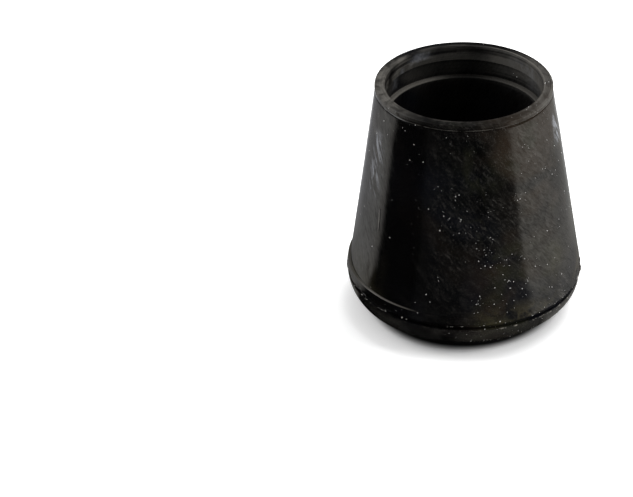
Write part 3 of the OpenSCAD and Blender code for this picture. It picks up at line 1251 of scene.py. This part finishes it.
class TIP_OT_crumbs(Operator):
    """Scatter torn crumbs of rubber along the flash"""

    bl_idname = "leg_tip.crumbs"
    bl_label = "Flash crumbs"

    def execute(self, context):
        tip, marks = context.scene.tip_sizes, context.scene.tip_marks
        tree, ids = crumb_tree()
        crumbs = grow(
            "flash_crumbs",
            tree,
            ids,
            {
                "Count": marks.crumb_count,
                "Ring radius": tip.flash_r,
                "Ring height": tip.parting,
                "Largest": marks.crumb_size,
                "Seed": marks.crumb_seed,
                "Material": chalky_material(
                    "torn_rubber", tuple(context.scene.tip_handling.torn_colour), 0.75, 700.0
                ),
            },
        )
        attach(crumbs, "root")
        return {"FINISHED"}


class TIP_OT_dust(Operator):
    """Scatter pale specks of dust over the outside wall"""

    bl_idname = "leg_tip.dust"
    bl_label = "Dust specks"

    def execute(self, context):
        tip, handling = context.scene.tip_sizes, context.scene.tip_handling
        body = bpy.data.objects["moulded_tip"]
        tree, ids = dust_tree()
        dust = grow(
            "dust_specks",
            tree,
            ids,
            {
                "Body": body,
                "Density": handling.dust_density,
                "Seed": handling.dust_seed,
                "Largest": handling.dust_size,
                "Lowest": 2.0 * MM,
                "Highest": tip.height - 0.2 * MM,
                "Innermost": tip.mouth_r + 0.3 * MM,
                "Outermost": tip.bead_r - 0.03 * MM,
                "Material": chalky_material(
                    "dust", tuple(handling.dust_colour), 0.9, 400.0
                ),
            },
        )
        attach(dust, "root")
        return {"FINISHED"}


class TIP_OT_hairs(Operator):
    """Lay hairs and fine scratches on the outside wall"""

    bl_idname = "leg_tip.hairs"
    bl_label = "Hairs and scratches"

    def execute(self, context):
        tip, handling = context.scene.tip_sizes, context.scene.tip_handling
        hairs = bpy.data.objects.new("hairs", hair_mesh(tip, handling.hair_width))
        bpy.context.scene.collection.objects.link(hairs)
        hairs.data.materials.append(
            chalky_material("hair", tuple(handling.hair_colour), 0.6, 500.0)
        )
        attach(hairs, "root")
        return {"FINISHED"}


# The studio table as gloss sees it: degrees right of the front, and its tone there.
TABLE_TONES = (
    (-180, (0.80, 0.80, 0.82)),
    (-166, (0.50, 0.50, 0.51)),
    (-152, (0.20, 0.20, 0.21)),
    (-128, (0.27, 0.265, 0.26)),
    (-104, (0.54, 0.53, 0.51)),
    (-95, (0.50, 0.48, 0.45)),
    (-90, (0.00, 0.00, 0.00)),
    (-49, (0.00, 0.00, 0.00)),
    (-44, (0.034, 0.034, 0.034)),
    (4, (0.028, 0.028, 0.028)),
    (14, (0.008, 0.008, 0.008)),
    (26, (0.045, 0.045, 0.038)),
    (36, (0.075, 0.068, 0.056)),
    (49, (0.085, 0.078, 0.068)),
    (54, (0.62, 0.60, 0.55)),
    (86, (0.50, 0.485, 0.455)),
    (112, (0.30, 0.29, 0.275)),
    (138, (0.22, 0.22, 0.21)),
    (152, (0.34, 0.34, 0.34)),
    (166, (0.60, 0.60, 0.61)),
    (180, (0.80, 0.80, 0.82)),
)


def floor_material(look):
    """Pale floor. The camera sees it white with the tip's shadow on it and a painted shadow under
    the shoulder, and gloss sees a studio table that is bright to the left, the right and the far
    side, with painted shade near the tip."""
    material, tree = new_material("studio_floor")
    _, x, y, _, radius = object_place(tree)
    angle = bearing(tree, x, y)
    angle = angle * radius.ramp(40 * MM, 90 * MM, 1.05, 1.0)
    around = (angle / math.tau + 0.5).clamped()
    ramp = put(tree, "ShaderNodeValToRGB", {0: around})
    elements = ramp.color_ramp.elements
    while len(elements) < len(TABLE_TONES):
        elements.new(0.5)
    for element, (degrees, grey) in zip(elements, TABLE_TONES):
        element.position = degrees / 360 + 0.5
        element.color = (*grey, 1.0)
    path = put(tree, "ShaderNodeLightPath")
    tone = tuple(look.floor_tone)
    # Under the shoulder the floor is painted all but black: a painted shadow that the camera sees.
    painted_floor_shadow = radius.ramp(13.1 * MM, 15.2 * MM, 0.01, 1.0)
    seen = vector_calc(
        tree, "MULTIPLY", combine(tree, painted_floor_shadow, painted_floor_shadow, painted_floor_shadow),
        tuple(look.floor_seen * c for c in tone),
    )
    # Gloss sees the floor darker near the tip: painted shade.
    near_painted_shade = radius.ramp(20 * MM, 42 * MM, 0.48 * look.floor_gloss, look.floor_gloss)
    gloss = vector_calc(
        tree, "MULTIPLY", ramp.outputs[0], combine(tree, near_painted_shade, near_painted_shade, near_painted_shade)
    )
    colour = mix(tree, path.outputs["Is Glossy Ray"], tone, gloss)
    colour = mix(tree, path.outputs["Is Camera Ray"], colour, seen)
    soft = put(tree, "ShaderNodeBsdfDiffuse", {"Color": colour})
    finish_material(tree, soft)
    return material


def aim_lamp(name, place, target, width, height, power, in_gloss):
    """A soft rectangular lamp that faces a point. in_gloss says if gloss shows it."""
    lamp = bpy.data.lights.new(name, "AREA")
    lamp.shape = "RECTANGLE"
    lamp.size, lamp.size_y, lamp.energy = width, height, power
    made = bpy.data.objects.new(name, lamp)
    bpy.context.scene.collection.objects.link(made)
    made.location = place
    made.visible_glossy = in_gloss
    made.rotation_euler = (Vector(target) - Vector(place)).to_track_quat("-Z", "Y").to_euler()
    return made


class TIP_OT_stage(Operator):
    """Set up the floor, the soft lamps, the sky and the camera"""

    bl_idname = "leg_tip.stage"
    bl_label = "Stage, lamps and camera"

    def execute(self, context):
        scene = context.scene
        look, view = scene.tip_stage, scene.tip_camera
        half = 3.0
        mesh = bpy.data.meshes.new("studio_floor")
        mesh.from_pydata(
            [(-half, -half, 0), (half, -half, 0), (half, half, 0), (-half, half, 0)],
            [],
            [(0, 1, 2, 3)],
        )
        floor = bpy.data.objects.new("studio_floor", mesh)
        scene.collection.objects.link(floor)
        floor.location.z = -0.02 * MM
        mesh.materials.append(floor_material(look))

        middle = (0.0, 0.0, 0.018)
        aim_lamp("side", (0.50, -0.12, 0.27), middle, 0.30, 0.30, look.side_power, False)
        aim_lamp("key", (0.18, 0.12, 0.56), middle, 0.42, 0.42, look.key_power, False)
        aim_lamp("strip", (-0.42, 0.10, 0.30), middle, 0.30, 0.26, look.strip_power, True)

        world = bpy.data.worlds.new("studio")
        scene.world = world
        world.use_nodes = True
        tree = world.node_tree
        tree.nodes.clear()
        path = put(tree, "ShaderNodeLightPath")
        in_gloss, in_view = [Field(path.outputs[f"Is {ray} Ray"]) for ray in ("Glossy", "Camera")]
        strength = look.sky_fill + in_gloss * (look.sky_gloss - look.sky_fill)
        strength = strength + in_view * (1.0 - look.sky_fill)
        sky = put(tree, "ShaderNodeBackground", {"Color": (1, 1, 1, 1), "Strength": strength})
        out = put(tree, "ShaderNodeOutputWorld")
        tree.links.new(sky.outputs[0], out.inputs[0])

        lens = bpy.data.cameras.new("camera")
        lens.sensor_width = 36.0
        lens.lens = view.lens
        lens.clip_start, lens.clip_end = 0.01, 20.0
        camera = bpy.data.objects.new("camera", lens)
        scene.collection.objects.link(camera)
        camera.location = view.place
        camera.rotation_euler = view.turn
        scene.camera = camera
        scene.view_settings.view_transform = "Standard"
        return {"FINISHED"}


class TIP_PT_panel(Panel):
    """Sizes and finishes of the leg tip, and its pieces in order"""

    bl_idname = "TIP_PT_panel"
    bl_label = "Leg tip"
    bl_space_type = "VIEW_3D"
    bl_region_type = "UI"
    bl_category = "Leg tip"

    def draw(self, context):
        for operator in OPERATORS:
            self.layout.operator(operator.bl_idname)
        for attribute, _ in GROUPS:
            box = self.layout.box()
            group = getattr(context.scene, attribute)
            for name in group.bl_rna.properties.keys():
                if name not in ("rna_type", "name"):
                    box.prop(group, name)


GROUPS = (
    ("tip_sizes", TipSizes),
    ("tip_marks", MouldMarks),
    ("tip_rubber", RubberFinish),
    ("tip_handling", Handling),
    ("tip_stage", StageLook),
    ("tip_camera", CameraPlace),
)
OPERATORS = (TIP_OT_body, TIP_OT_crumbs, TIP_OT_dust, TIP_OT_hairs, TIP_OT_stage)


def register():
    for attribute, group in GROUPS:
        bpy.utils.register_class(group)
        setattr(bpy.types.Scene, attribute, PointerProperty(type=group))
    for made in (*OPERATORS, TIP_PT_panel):
        bpy.utils.register_class(made)


def unregister():
    for made in reversed((*OPERATORS, TIP_PT_panel)):
        bpy.utils.unregister_class(made)
    for attribute, group in reversed(GROUPS):
        delattr(bpy.types.Scene, attribute)
        bpy.utils.unregister_class(group)


def main():
    register()
    bpy.ops.leg_tip.body()
    bpy.ops.leg_tip.crumbs()
    bpy.ops.leg_tip.dust()
    bpy.ops.leg_tip.hairs()
    bpy.ops.leg_tip.stage()


if __name__ == "__main__":
    main()
